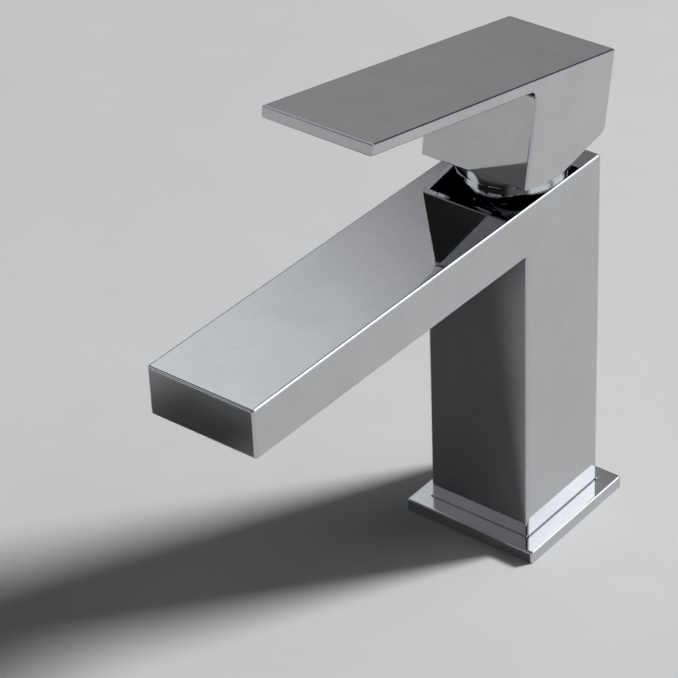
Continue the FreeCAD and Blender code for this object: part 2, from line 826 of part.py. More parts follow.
def handle_form():
    """The outer form: the block and the flat blade that carries its top forward."""
    blade = side_prism(
        [
            (-lever_reach, handle_top_z),
            (-lever_reach, handle_top_z - blade_tip_thickness),
            (-handle_half_depth, handle_ceiling_z),
            (0, handle_ceiling_z),
            (0, handle_top_z),
        ],
        handle_half_width,
    )
    form = handle_block().fuse(blade).removeSplitter()

    def cove_edge(edge_box):
        along = edge_box.XLength > handle_half_width
        at_front = abs(edge_box.YMin + handle_half_depth) < handle_edge_radius
        return along and at_front and abs(edge_box.ZMax - handle_ceiling_z) < handle_edge_radius

    def side_edge(edge_box):
        in_side_face = edge_box.XLength < handle_side_radius
        ahead = edge_box.YMax < handle_side_radius - handle_half_depth
        return in_side_face and ahead and edge_box.ZMax < handle_top_z - blade_tip_thickness / 2

    def crisp_edge(edge_box):
        on_top = edge_box.ZMin > handle_top_z - handle_edge_radius
        upright = edge_box.ZLength > blade_tip_thickness / 2
        return on_top or (upright and edge_box.YMax < handle_edge_radius - lever_reach)

    def rim_edge(edge_box):
        at_front = edge_box.YMax < handle_side_radius + handle_rim_radius - handle_half_depth
        level = edge_box.ZMax < handle_z + handle_rim_radius
        beside = edge_box.XLength < handle_rim_radius and edge_box.YLength > handle_side_radius
        return (level and at_front) or (beside and edge_box.ZMax < handle_z + relief_rise)

    form = rounded(form, handle_cove_radius, cove_edge)
    form = rounded(form, handle_side_radius, side_edge)
    form = rounded(form, handle_edge_radius, crisp_edge)
    return rounded(form, handle_rim_radius, rim_edge)


def make_handle():
    """The hollow handle, with the stem's socket and the set screw's boss cast inside."""
    cavity_x = handle_half_width - handle_wall
    cavity_y = handle_half_depth - handle_wall
    cavity = box(-cavity_x, cavity_x, -cavity_y, cavity_y, handle_z - overrun, handle_ceiling_z)
    cavity = rounded(cavity, handle_cavity_radius, lambda edge_box: edge_box.ZLength > handle_height / 2)
    handle = handle_form().cut(cavity)

    socket_half = stem_width / 2 + stem_fit_gap
    boss_half = socket_half + handle_socket_wall
    boss = box(-boss_half, boss_half, -boss_half, boss_half, handle_socket_z, handle_ceiling_z + overrun)
    boss_radius = handle_screw_radius + handle_screw_wall
    handle = handle.fuse(boss).fuse(back_rod(boss_radius, 0, handle_half_depth - handle_wall / 2, screw_z))
    socket_z0 = handle_socket_z - overrun
    socket_z1 = stem_top_z + running_gap
    handle = handle.cut(box(-socket_half, socket_half, -socket_half, socket_half, socket_z0, socket_z1))
    rear = handle_half_depth + overrun
    handle = handle.cut(back_rod(handle_screw_radius + thread_gap, 0, rear, screw_z))
    plug_floor = handle_half_depth - index_plug_thickness
    handle = handle.cut(back_rod(index_plug_radius + braze_gap, plug_floor, rear, screw_z))
    return lifted(handle)


def make_handle_screw():
    start = stem_width / 2
    screw = back_rod(handle_screw_radius, start, start + handle_screw_length, screw_z)
    key_start = start + handle_screw_length - screw_key_depth
    key = back_rod(screw_key_radius, key_start, start + handle_screw_length + overrun, screw_z)
    return lifted(screw.cut(key))


def make_index_plug():
    plug = back_rod(index_plug_radius, handle_half_depth - index_plug_thickness, handle_half_depth, screw_z)
    return lifted(plug)


def make_aerator_housing():
    inner = aerator_radius - aerator_wall
    flange = aerator_radius + aerator_flange_step
    chamfer = aerator_flange_step / 2
    return turned(
        [
            (inner - aerator_lip, aerator_z),
            (flange - chamfer, aerator_z),
            (flange, aerator_z + chamfer),
            (flange, aerator_seat_z),
            (aerator_radius, aerator_seat_z),
            (aerator_radius, aerator_top_z),
            (inner, aerator_top_z),
            (inner, aerator_z + aerator_lip),
            (inner - aerator_lip, aerator_z + aerator_lip),
        ],
        0.0,
        aerator_y,
    )


def make_aerator_seal():
    inner = aerator_radius - aerator_seal_width
    return ring(aerator_radius, inner, aerator_top_z, aerator_bore_top_z, 0.0, aerator_y)


def perforated_disc(z0, z1):
    """A disc inside the aerator's housing, pierced by rings of jets."""
    disc = post(aerator_radius - aerator_wall - aerator_insert_gap, z0, z1, 0.0, aerator_y)
    jets = [post(jet_radius, z0 - overrun, z1 + overrun, 0.0, aerator_y)]
    for level in range(1, jet_ring_count + 1):
        count = level * jets_per_ring
        for step in range(count):
            turn = 2 * math.pi * step / count
            x = level * jet_pitch * math.cos(turn)
            y = aerator_y + level * jet_pitch * math.sin(turn)
            jets.append(post(jet_radius, z0 - overrun, z1 + overrun, x, y))
    return disc.cut(Part.makeCompound(jets))


def main():
    os.makedirs("parts", exist_ok=True)
    screen_z = aerator_top_z - aerator_screen_thickness
    pieces = {
        "body": make_body(),
        "foot_block": make_foot_block(),
        "hot_inlet_tube": make_inlet_tube(-1),
        "cold_inlet_tube": make_inlet_tube(1),
        "base_plate": make_base_plate(),
        "base_gasket": make_base_gasket(),
        "mounting_stud": make_mounting_stud(),
        "clamp_washer": make_clamp(clamp_washer_z, clamp_washer_thickness),
        "clamp_plate": make_clamp(clamp_plate_z, clamp_plate_thickness),
        "stud_nut": make_stud_nut(),
        "cartridge_base": make_cartridge_base(),
        "inlet_seals": Part.makeCompound([make_inlet_seal(side) for side in (1, -1)]),
        "disc_seals": make_disc_seals(),
        "fixed_disc": make_fixed_disc(),
        "moving_disc": make_moving_disc(),
        "disc_carrier": make_disc_carrier(),
        "cartridge_housing": make_cartridge_housing(),
        "housing_o_ring": make_housing_o_ring(),
        "stem_guide": make_stem_guide(),
        "pivot_pin": make_pivot_pin(),
        "lever_stem": make_lever_stem(),
        "slip_washer": make_slip_washer(),
        "retaining_nut": make_retaining_nut(),
        "dome_grip_ring": make_dome_grip_ring(),
        "dome_cover": make_dome_cover(),
        "handle": make_handle(),
        "handle_screw": make_handle_screw(),
        "index_plug": make_index_plug(),
        "aerator_housing": make_aerator_housing(),
        "aerator_seal": make_aerator_seal(),
        "aerator_insert": perforated_disc(aerator_z + aerator_lip, screen_z),
        "aerator_screen": perforated_disc(screen_z, aerator_top_z),
    }
    for name, shape in pieces.items():
        shape.exportStep(os.path.join("parts", name + ".step"))
        print(name, len(shape.Solids), round(shape.Volume, 1), shape.isValid())


main()
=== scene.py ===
"""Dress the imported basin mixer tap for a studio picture.

The frame's solids keep their shapes and get procedural finishes. The threaded stud and its nut, the outlet's
woven gauze and the hot and cold button are worked out here as parametric surfaces, and stand for their plain
solids.
"""

import json
import logging
import math
from dataclasses import dataclass, field
from enum import Enum
from typing import Callable, Sequence

import bpy
import numpy as np
from mathutils import Matrix, Vector


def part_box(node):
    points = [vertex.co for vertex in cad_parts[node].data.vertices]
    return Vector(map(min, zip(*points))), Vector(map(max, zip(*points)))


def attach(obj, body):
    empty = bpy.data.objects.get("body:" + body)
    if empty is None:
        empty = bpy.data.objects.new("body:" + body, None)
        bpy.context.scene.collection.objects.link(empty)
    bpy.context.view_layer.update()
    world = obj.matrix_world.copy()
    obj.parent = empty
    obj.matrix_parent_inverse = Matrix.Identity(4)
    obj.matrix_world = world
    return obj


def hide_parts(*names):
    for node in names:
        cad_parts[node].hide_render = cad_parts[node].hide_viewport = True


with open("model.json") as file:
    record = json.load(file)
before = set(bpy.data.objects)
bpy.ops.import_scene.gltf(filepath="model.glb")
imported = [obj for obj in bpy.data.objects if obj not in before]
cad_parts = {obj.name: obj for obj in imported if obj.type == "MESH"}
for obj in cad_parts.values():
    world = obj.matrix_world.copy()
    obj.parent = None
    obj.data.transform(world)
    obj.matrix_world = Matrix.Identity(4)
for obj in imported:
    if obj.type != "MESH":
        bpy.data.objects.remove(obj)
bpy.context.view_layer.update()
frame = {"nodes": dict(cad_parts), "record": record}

MM = 0.001
LOG = logging.getLogger("basin_mixer")

Colour = tuple[float, float, float]
Point = tuple[float, float, float]
Span = tuple[float, float]
Node = bpy.types.Node
Socket = bpy.types.NodeSocket


class Body(Enum):
    """The bodies of the frame that new pieces ride on."""

    FIXED = "fixed"
    LEVER = "lever"


NewPiece = tuple[bpy.types.Object, str, Body]


class Slot(Enum):
    """The record's material slots."""

    POLISHED_CHROME = "polished_chrome"
    HANDLE_CHROME = "handle_chrome"
    BRASS = "brass"
    COPPER = "copper"
    ZINC_STEEL = "zinc_steel"
    STAINLESS_STEEL = "stainless_steel"
    BLACK_RUBBER = "black_rubber"
    ALUMINA = "alumina"
    CARTRIDGE_PLASTIC = "cartridge_plastic"
    GUIDE_PLASTIC = "guide_plastic"
    AERATOR_PLASTIC = "aerator_plastic"
    INDEX_PLASTIC = "index_plastic"


class Effect(Enum):
    """The shader groups that the finishes share."""

    HAZE = "surface_haze"
    ROLL = "polishing_roll"
    LINES = "tool_lines"
    GRAIN = "moulded_grain"


# Node trees


class Graph:
    """A node tree with short calls for adding nodes and joining them."""

    def __init__(self, tree: bpy.types.NodeTree) -> None:
        """Empty the tree of a material, a world or a group, and keep it."""
        self.tree = tree
        self.tree.nodes.clear()

    def add(self, kind: str, **settings: object) -> Node:
        """Add one node.

        Args:
            kind: the node's type name without its ShaderNode prefix.
            settings: attributes of the node, such as operation or data_type.

        Returns:
            The new node.
        """
        prefix = "" if kind.startswith("NodeGroup") else "ShaderNode"
        node = self.tree.nodes.new(prefix + kind)
        for name, value in settings.items():
            setattr(node, name, value)
        return node

    def put(self, value: object, socket: Socket) -> None:
        """Link a socket to an input, or set a plain value on it.

        Args:
            value: a socket or a value.
            socket: the input that takes it.
        """
        if isinstance(value, Socket):
            self.tree.links.new(value, socket)
        else:
            socket.default_value = value

    def feed(self, node: Node, **inputs: object) -> Node:
        """Set or link a node's inputs by their names, with spaces written as underscores.

        Args:
            node: the node that takes the inputs.
            inputs: a socket to link, or a plain value to set.

        Returns:
            The same node.
        """
        for name, value in inputs.items():
            self.put(value, node.inputs[name.replace("_", " ")])
        return node

    def math(self, operation: str, first: object, second: object = 0.0) -> Socket:
        """Add a Math node.

        Args:
            operation: the node's operation.
            first: a socket or a number.
            second: a socket or a number.

        Returns:
            The node's value.
        """
        node = self.add("Math", operation=operation)
        self.put(first, node.inputs[0])
        self.put(second, node.inputs[1])
        return node.outputs[0]

    def remap(self, value: Socket, low: float, high: float, to_low: object, to_high: object,
              smooth: bool = False) -> Socket:
        """Carry a value from one range to another.

        Args:
            value: the socket to carry over.
            low, high: the range that it comes from.
            to_low, to_high: sockets or numbers, the range that it goes to.
            smooth: whether it leaves and arrives softly.

        Returns:
            The carried value.
        """
        node = self.add("MapRange", interpolation_type="SMOOTHSTEP" if smooth else "LINEAR")
        self.feed(node, Value=value, From_Min=low, From_Max=high, To_Min=to_low, To_Max=to_high)
        return node.outputs["Result"]

    def mix(self, factor: Socket, first: object, second: object) -> Socket:
        """Mix two colours.

        Args:
            factor: the share of the second colour.
            first, second: colours, or sockets that give them.

        Returns:
            The mixed colour.
        """
        node = self.add("Mix", data_type="RGBA")
        self.put(factor, node.inputs["Factor"])
        for socket, value in zip([s for s in node.inputs if s.type == "RGBA"], (first, second)):
            self.put(value if isinstance(value, Socket) else (*value, 1.0), socket)
        return next(s for s in node.outputs if s.type == "RGBA")


@dataclass
class EffectShelf:
    """The shader groups, each built once and placed in every finish that asks for it."""

    haze_detail: float = 3.0
    haze_roughness: float = 0.55
    haze_broad_share: float = 0.7
    haze_finer: float = 9.0
    haze_fine_detail: float = 2.0
    haze_fine_share: float = 0.3
    haze_span: Span = (0.34, 0.66)
    roll_detail: float = 1.0
    roll_roughness: float = 0.3
    roll_fine_scale: float = 700.0
    line_detail: float = 2.0
    line_span: Span = (0.3, 0.7)
    tint_scale: float = 90.0
    tint_detail: float = 4.0
    tint_span: Span = (0.35, 0.65)
    built: dict[Effect, bpy.types.NodeTree] = field(default_factory=dict)

    def place(self, graph: Graph, effect: Effect, **inputs: object) -> Node:
        """Place a group in a tree.

        Args:
            graph: the tree that takes the group.
            effect: which group.
            inputs: its input values or links.

        Returns:
            The group's node.
        """
        if effect not in self.built:
            makers: dict[Effect, Callable[[Graph], None]] = {
                Effect.HAZE: self._haze,
                Effect.ROLL: self._roll,
                Effect.LINES: self._lines,
                Effect.GRAIN: self._grain,
            }
            tree = bpy.data.node_groups.new(effect.value, "ShaderNodeTree")
            makers[effect](Graph(tree))
            self.built[effect] = tree
        node = graph.add("Group")
        node.node_tree = self.built[effect]
        return graph.feed(node, **inputs)

    @staticmethod
    def _sockets(graph: Graph, inputs: dict[str, object], outputs: Sequence[str]) -> tuple[Node, Node]:
        """Declare a group's sockets.

        Args:
            graph: the group's tree.
            inputs: names with their default values, where None is a vector.
            outputs: the names of the values that it puts out.

        Returns:
            The group's input and output nodes.
        """
        for name, value in inputs.items():
            kind = "NodeSocketVector" if value is None or isinstance(value, tuple) else "NodeSocketFloat"
            socket = graph.tree.interface.new_socket(name=name, in_out="INPUT", socket_type=kind)
            if value is not None:
                socket.default_value = value
        for name in outputs:
            graph.tree.interface.new_socket(name=name, in_out="OUTPUT", socket_type="NodeSocketFloat")
        return graph.add("NodeGroupInput"), graph.add("NodeGroupOutput")

    def _haze(self, graph: Graph) -> None:
        """Soft patches from two noises, one broad and one fine: a mask, and a roughness between two ends.

        Args:
            graph: the group's tree.
        """
        inside, outside = self._sockets(
            graph, {"Vector": None, "Scale": 40.0, "Low": 0.05, "High": 0.1}, ("Mask", "Roughness"))
        place, scale = inside.outputs["Vector"], inside.outputs["Scale"]
        broad = graph.feed(graph.add("TexNoise"), Vector=place, Scale=scale, Detail=self.haze_detail,
                           Roughness=self.haze_roughness)
        finer = graph.math("MULTIPLY", scale, self.haze_finer)
        fine = graph.feed(graph.add("TexNoise"), Vector=place, Scale=finer, Detail=self.haze_fine_detail)
        both = graph.math("ADD", graph.math("MULTIPLY", broad.outputs["Fac"], self.haze_broad_share),
                          graph.math("MULTIPLY", fine.outputs["Fac"], self.haze_fine_share))
        mask = graph.remap(both, *self.haze_span, 0.0, 1.0, smooth=True)
        rough = graph.remap(mask, 0.0, 1.0, inside.outputs["Low"], inside.outputs["High"])
        graph.feed(outside, Mask=mask, Roughness=rough)

    def _roll(self, graph: Graph) -> None:
        """The faint long waves that hand polishing leaves under a plated face, as a height.

        Args:
            graph: the group's tree.
        """
        inside, outside = self._sockets(graph, {"Vector": None, "Scale": 30.0, "Fine": 0.15}, ("Height",))
        place = inside.outputs["Vector"]
        long = graph.feed(graph.add("TexNoise"), Vector=place, Scale=inside.outputs["Scale"],
                          Detail=self.roll_detail, Roughness=self.roll_roughness)
        short = graph.feed(graph.add("TexNoise"), Vector=place, Scale=self.roll_fine_scale,
                           Detail=self.roll_detail)
        fine = graph.math("MULTIPLY", short.outputs["Fac"], inside.outputs["Fine"])
        graph.feed(outside, Height=graph.math("ADD", long.outputs["Fac"], fine))

    def _lines(self, graph: Graph) -> None:
        """Tool marks: noise on coordinates that are stretched, so that it runs out into lines.

        Args:
            graph: the group's tree.
        """
        inside, outside = self._sockets(
            graph, {"Vector": None, "Stretch": (60.0, 60.0, 4000.0)}, ("Mask", "Height"))
        stretched = graph.add("VectorMath", operation="MULTIPLY")
        graph.put(inside.outputs["Vector"], stretched.inputs[0])
        graph.put(inside.outputs["Stretch"], stretched.inputs[1])
        noise = graph.feed(graph.add("TexNoise"), Vector=stretched.outputs["Vector"], Scale=1.0,
                           Detail=self.line_detail)
        mask = graph.remap(noise.outputs["Fac"], *self.line_span, 0.0, 1.0)
        graph.feed(outside, Mask=mask, Height=noise.outputs["Fac"])

    def _grain(self, graph: Graph) -> None:
        """The fine pebbled grain of a mould: cells for the height, noise for the tint.

        Args:
            graph: the group's tree.
        """
        inside, outside = self._sockets(graph, {"Vector": None, "Scale": 2200.0}, ("Mask", "Height"))
        place = inside.outputs["Vector"]
        cells = graph.feed(graph.add("TexVoronoi", feature="SMOOTH_F1"), Vector=place,
                           Scale=inside.outputs["Scale"])
        noise = graph.feed(graph.add("TexNoise"), Vector=place, Scale=self.tint_scale,
                           Detail=self.tint_detail)
        mask = graph.remap(noise.outputs["Fac"], *self.tint_span, 0.0, 1.0)
        graph.feed(outside, Mask=mask, Height=cells.outputs["Distance"])


SHELF = EffectShelf()


# Finishes


@dataclass(frozen=True)
class Finish:
    """What every finish shares: its slot, its two colours and the ends of its roughness."""

    slot: Slot
    colour: Colour
    second_colour: Colour
    smooth: float
    rough: float

    def material(self) -> bpy.types.Material:
        """Build the material.

        Returns:
            A new material named for its slot.
        """
        made = bpy.data.materials.new(self.slot.value)
        made.use_nodes = True
        graph = Graph(made.node_tree)
        shader = graph.add("BsdfPrincipled")
        place = graph.add("TexCoord").outputs["Object"]
        self.dress(graph, shader, place)
        graph.feed(graph.add("OutputMaterial"), Surface=shader.outputs["BSDF"])
        return made

    def dress(self, graph: Graph, shader: Node, place: Socket) -> None:
        """Feed the Principled shader from Object coordinates, each finish in its own way."""
        raise NotImplementedError

    def haze(self, graph: Graph, place: Socket, scale: float) -> Node:
        """Place the haze, in this many patches to a metre, between the two ends of the roughness."""
        return SHELF.place(graph, Effect.HAZE, Vector=place, Scale=scale, Low=self.smooth, High=self.rough)

    @staticmethod
    def bump(graph: Graph, shader: Node, height: Socket, strength: float, depth: float) -> None:
        """Put a height on the shader's normal, where a height of 1 is a depth in metres."""
        node = graph.feed(graph.add("Bump"), Strength=strength, Distance=depth, Height=height)
        graph.feed(shader, Normal=node.outputs["Normal"])


@dataclass(frozen=True)
class MirrorPlate(Finish):
    """Bright plating over a polished casting."""

    wave: float = 0.05
    wave_depth: float = 1.0 * MM
    wave_scale: float = 34.0
    wave_fine: float = 0.04
    mottle: float = 55.0

    def dress(self, graph: Graph, shader: Node, place: Socket) -> None:
        """A metal mirror with a breath of haze and the slow waves of hand polishing.

        Args:
            graph: the material's tree.
            shader: its Principled node.
            place: Object coordinates.
        """
        haze = self.haze(graph, place, self.mottle)
        colour = graph.mix(haze.outputs["Mask"], self.colour, self.second_colour)
        graph.feed(shader, Base_Color=colour, Metallic=1.0, Roughness=haze.outputs["Roughness"])
        roll = SHELF.place(graph, Effect.ROLL, Vector=place, Scale=self.wave_scale, Fine=self.wave_fine)
        self.bump(graph, shader, roll.outputs["Height"], self.wave, self.wave_depth)


@dataclass(frozen=True)
class WorkedMetal(Finish):
    """Bare or thinly plated metal that shows its tool marks."""

    stretch: Point = (60.0, 60.0, 4000.0)
    marks: float = 0.25
    mark_depth: float = 0.05 * MM
    mark_spread: float = 0.05
    mottle: float = 60.0

    def dress(self, graph: Graph, shader: Node, place: Socket) -> None:
        """A metal whose colour drifts in patches and whose roughness and normal follow its lines.

        Args:
            graph: the material's tree.
            shader: its Principled node.
            place: Object coordinates.
        """
        haze = self.haze(graph, place, self.mottle)
        lines = SHELF.place(graph, Effect.LINES, Vector=place, Stretch=self.stretch)
        patch = graph.math("MULTIPLY", haze.outputs["Mask"], lines.outputs["Mask"])
        colour = graph.mix(patch, self.colour, self.second_colour)
        spread = graph.remap(lines.outputs["Mask"], 0.0, 1.0, -self.mark_spread, self.mark_spread)
        rough = graph.math("ADD", haze.outputs["Roughness"], spread)
        graph.feed(shader, Base_Color=colour, Metallic=1.0, Roughness=rough)
        self.bump(graph, shader, lines.outputs["Height"], self.marks, self.mark_depth)


@dataclass(frozen=True)
class Moulded(Finish):
    """Rubber, plastic or pressed ceramic out of a mould."""

    grain: float = 2200.0
    relief: float = 0.2
    relief_depth: float = 0.06 * MM
    mottle: float = 70.0

    def dress(self, graph: Graph, shader: Node, place: Socket) -> None:
        """A dull body whose tint drifts a little, with the mould's grain on its skin.

        Args:
            graph: the material's tree.
            shader: its Principled node.
            place: Object coordinates.
        """
        grain = SHELF.place(graph, Effect.GRAIN, Vector=place, Scale=self.grain)
        haze = self.haze(graph, place, self.mottle)
        colour = graph.mix(grain.outputs["Mask"], self.colour, self.second_colour)
        graph.feed(shader, Base_Color=colour, Metallic=0.0, Roughness=haze.outputs["Roughness"])
        self.bump(graph, shader, grain.outputs["Height"], self.relief, self.relief_depth)


@dataclass(frozen=True)
class TwoToneMark(Finish):
    """The hot and cold button: one colour on the left, one on the right, parted by a pale line."""

    parting: Colour = (0.8, 0.8, 0.8)
    half_line: float = 0.22 * MM
    soft_edge: float = 0.05 * MM
    grain: float = 3000.0
    relief: float = 0.05
    relief_depth: float = 0.03 * MM
    mottle: float = 160.0
    coat: float = 0.4
    coat_rough: float = 0.05

    def dress(self, graph: Graph, shader: Node, place: Socket) -> None:
        """The side of the middle plane picks the colour, and the distance from it the line.

        Args:
            graph: the material's tree.
            shader: its Principled node.
            place: Object coordinates.
        """
        across = graph.feed(graph.add("SeparateXYZ"), Vector=place).outputs["X"]
        side = graph.remap(across, -self.soft_edge, self.soft_edge, 0.0, 1.0, smooth=True)
        away = graph.math("ABSOLUTE", across)
        line = graph.remap(away, self.half_line, self.half_line + self.soft_edge, 1.0, 0.0, smooth=True)
        halves = graph.mix(side, self.colour, self.second_colour)
        haze = self.haze(graph, place, self.mottle)
        graph.feed(shader, Base_Color=graph.mix(line, halves, self.parting),
                   Roughness=haze.outputs["Roughness"], Coat_Weight=self.coat, Coat_Roughness=self.coat_rough)
        grain = SHELF.place(graph, Effect.GRAIN, Vector=place, Scale=self.grain)
        self.bump(graph, shader, grain.outputs["Height"], self.relief, self.relief_depth)


FINISHES: tuple[Finish, ...] = (
    MirrorPlate(Slot.POLISHED_CHROME, (0.60, 0.607, 0.62), (0.565, 0.572, 0.585), 0.02, 0.045),
    MirrorPlate(Slot.HANDLE_CHROME, (0.60, 0.607, 0.62), (0.555, 0.562, 0.575), 0.025, 0.05, wave=0.04),
    WorkedMetal(Slot.BRASS, (0.72, 0.53, 0.24), (0.55, 0.37, 0.15), 0.22, 0.38),
    WorkedMetal(Slot.COPPER, (0.74, 0.41, 0.27), (0.48, 0.24, 0.15), 0.28, 0.45,
                stretch=(3000.0, 3000.0, 25.0)),
    WorkedMetal(Slot.ZINC_STEEL, (0.62, 0.64, 0.66), (0.58, 0.55, 0.46), 0.25, 0.42,
                stretch=(500.0, 500.0, 900.0), marks=0.12, mottle=120.0),
    WorkedMetal(Slot.STAINLESS_STEEL, (0.66, 0.66, 0.65), (0.55, 0.55, 0.55), 0.18, 0.3),
    Moulded(Slot.BLACK_RUBBER, (0.02, 0.02, 0.021), (0.04, 0.04, 0.041), 0.55, 0.75),
    Moulded(Slot.ALUMINA, (0.84, 0.83, 0.78), (0.78, 0.77, 0.71), 0.14, 0.24, grain=5200.0, relief=0.05),
    Moulded(Slot.CARTRIDGE_PLASTIC, (0.8, 0.8, 0.76), (0.74, 0.74, 0.69), 0.32, 0.45),
    Moulded(Slot.GUIDE_PLASTIC, (0.1, 0.11, 0.13), (0.075, 0.08, 0.095), 0.35, 0.5),
    Moulded(Slot.AERATOR_PLASTIC, (0.74, 0.76, 0.78), (0.68, 0.7, 0.73), 0.25, 0.38),
    TwoToneMark(Slot.INDEX_PLASTIC, (0.55, 0.02, 0.02), (0.02, 0.07, 0.45), 0.18, 0.28),
)


class FinishShelf:
    """The materials, one for each slot of the record."""

    def __init__(self, finishes: Sequence[Finish]) -> None:
        """Build every finish once, and note the slot of each solid."""
        self.by_slot = {finish.slot: finish.material() for finish in finishes}
        self.slot_of = {part["node"]: Slot(part["material_slot"]) for part in frame["record"]["subparts"]}

    def dress_node(self, node: str) -> None:
        """Give a solid of the frame its finish.

        Args:
            node: the solid's name.
        """
        slot = self.slot_of[node]
        for place in frame["nodes"][node].material_slots:
            place.material = self.by_slot[slot]
        LOG.info("%s keeps its solid, in %s", node, slot.value)

    def dress_piece(self, piece: bpy.types.Object, node: str, body: Body) -> None:
        """Let a new piece stand for a solid, in that solid's finish.

        Args:
            piece: the new piece.
            node: the solid that it stands for.
            body: the body that it rides on.
        """
        slot = self.slot_of[node]
        piece.data.materials.append(self.by_slot[slot])
        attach(piece, body.value)
        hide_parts(node)
        LOG.info("%s stands for %s, in %s", piece.name, node, slot.value)


# Meshes


def box_in_mm(node: str) -> tuple[np.ndarray, np.ndarray]:
    """The lowest and highest corners of a solid at rest, in millimetres."""
    low, high = (np.array(corner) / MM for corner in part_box(node))
    return low, high


def full_turn(steps: int) -> np.ndarray:
    """Evenly spread angles of one turn, without the first again at its end."""
    return np.linspace(0, 2 * math.pi, steps, endpoint=False)


def round_axis(centre: Sequence[float], radius: np.ndarray | float, turn: np.ndarray,
               height: np.ndarray | float) -> np.ndarray:
    """Place points round an upright axis, at the radius times the cosine and the sine of the turn.

    Args:
        centre: where the axis stands.
        radius, turn, height: arrays of one shape, or of shapes that spread to one.

    Returns:
        That shape's array of points.
    """
    across = centre[0] + radius * np.cos(turn)
    along = centre[1] + radius * np.sin(turn)
    return np.stack(np.broadcast_arrays(across, along, height), -1)


def lattice(rows: int, columns: int, close_rows: bool, close_columns: bool) -> np.ndarray:
    """Number the four corners of each cell of a grid of points.

    A cell at (i, j) has the points (i, j), (i, j+1), (i+1, j+1) and (i+1, j), and a closed direction counts
    on from its last line to its first.

    Args:
        rows, columns: how many points the grid has each way.
        close_rows: whether the last row joins the first.
        close_columns: whether the last column joins the first.

    Returns:
        An array of cells by four point numbers.
    """
    i, j = np.meshgrid(np.arange(rows if close_rows else rows - 1),
                       np.arange(columns if close_columns else columns - 1), indexing="ij")
    here, up, over = i * columns, (i + 1) % rows * columns, (j + 1) % columns
    return np.stack([here + j, here + over, up + over, up + j], -1).reshape(-1, 4)


def caps(rows: int, columns: int) -> np.ndarray:
    """Number the triangles that join a tube's two end rings to the two pole points after its grid.

    Args:
        rows, columns: the size of the tube's grid, whose rows are rings.

    Returns:
        An array of triangles by three point numbers.
    """
    here = np.arange(columns)
    after = (here + 1) % columns
    first, last = rows * columns, rows * columns + 1
    top = (rows - 1) * columns
    low = np.stack([np.full(columns, first), after, here], -1)
    high = np.stack([np.full(columns, last), top + here, top + after], -1)
    return np.concatenate([low, high])


def outward(points: np.ndarray, faces: Sequence[np.ndarray]) -> list[np.ndarray]:
    """Turn faces over where they point inwards.

    The volume that they enclose is a sixth of the sum of the triple products of the triangles that fan out
    from each face's first corner, and it is negative where they point inwards.

    Args:
        points: the points.
        faces: arrays of faces that close a form together, each with its own corner count.

    Returns:
        The arrays, facing outwards.
    """
    volume = 0.0
    for group in faces:
        for k in range(1, group.shape[1] - 1):
            a, b, c = points[group[:, 0]], points[group[:, k]], points[group[:, k + 1]]
            volume += float(np.einsum("ij,ij->i", a, np.cross(b, c)).sum()) / 6
    return [group[:, ::-1] if volume < 0 else group for group in faces]


def put_piece(name: str, points: np.ndarray, faces: Sequence[np.ndarray], crease: float) -> bpy.types.Object:
    """Make a mesh object at the origin, facing outwards and smooth up to a crease.

    Args:
        name: the piece's name.
        points: points in metres.
        faces: arrays of faces, each with its own corner count.
        crease: edges that turn by more than this many degrees stay sharp.

    Returns:
        The object, linked to the scene.
    """
    mesh = bpy.data.meshes.new(name)
    corners = [face for group in outward(points, faces) for face in group.tolist()]
    mesh.from_pydata(points.tolist(), [], corners)
    mesh.shade_smooth()
    mesh.set_sharp_from_angle(angle=math.radians(crease))
    mesh.validate()
    piece = bpy.data.objects.new(name, mesh)
    bpy.context.scene.collection.objects.link(piece)
    return piece


# Sub-assemblies


@dataclass
class SubAssembly:
    """Solids of the frame that keep their shape, and new pieces that stand for others."""

    solids: tuple[str, ...] = ()

    def build(self) -> list[NewPiece]:
        """Make no new piece, unless a sub-assembly has its own."""
        return []

    def dress(self, shelf: FinishShelf) -> None:
        """Build the new pieces and give everything its finish.

        Args:
            shelf: the materials.
        """
        for piece, node, body in self.build():
            shelf.dress_piece(piece, node, body)
        for node in self.solids:
            shelf.dress_node(node)


@dataclass
class Casting(SubAssembly):
    """The column with its spout, the base plate and what is built into the foot."""

    solids: tuple[str, ...] = (
        "body", "base_plate", "base_gasket", "foot_block", "hot_inlet_tube", "cold_inlet_tube")


